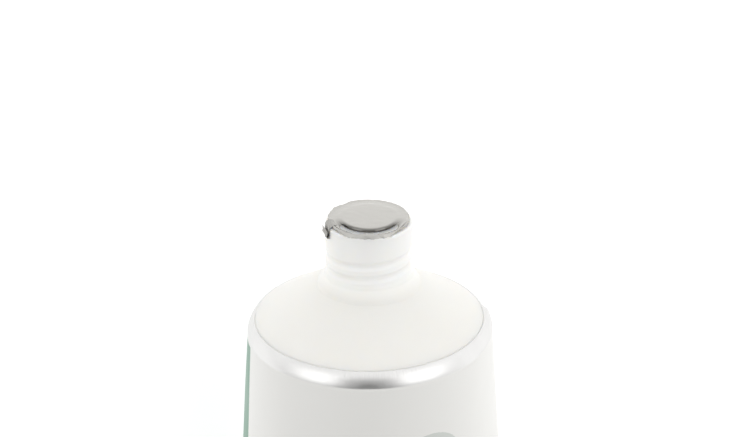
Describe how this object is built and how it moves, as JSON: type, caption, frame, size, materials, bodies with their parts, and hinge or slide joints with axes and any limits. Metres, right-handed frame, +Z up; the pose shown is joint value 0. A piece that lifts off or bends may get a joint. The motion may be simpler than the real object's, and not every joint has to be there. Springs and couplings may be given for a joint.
{
  "type": "toothpaste tube",
  "caption": "Filled laminate toothpaste tube lying on its belly: round shoulder with a bare threaded nozzle under a foil seal, sleeve widening to a flat ribbed crimp.",
  "frame": {"origin": "middle of the footprint, on the surface that the tube lies on", "axes": "+Z up; the crimped tail is towards +Y and the nozzle towards -Y; +X is the side that carries the green stripe"},
  "size_m": [0.0542, 0.148, 0.0349],
  "materials": {
    "sleeve_print": "satin white printed laminate",
    "sleeve_band": "bare satin aluminium laminate",
    "side_stripe": "satin green printed stripe",
    "shoulder_plastic": "satin natural white polyethylene",
    "seal_foil": "satin aluminium foil"
  },
  "bodies": {
    "root": {"tube_body": "sleeve_print", "shoulder": "shoulder_plastic", "foil_seal": "seal_foil"}
  },
  "joints": []
}
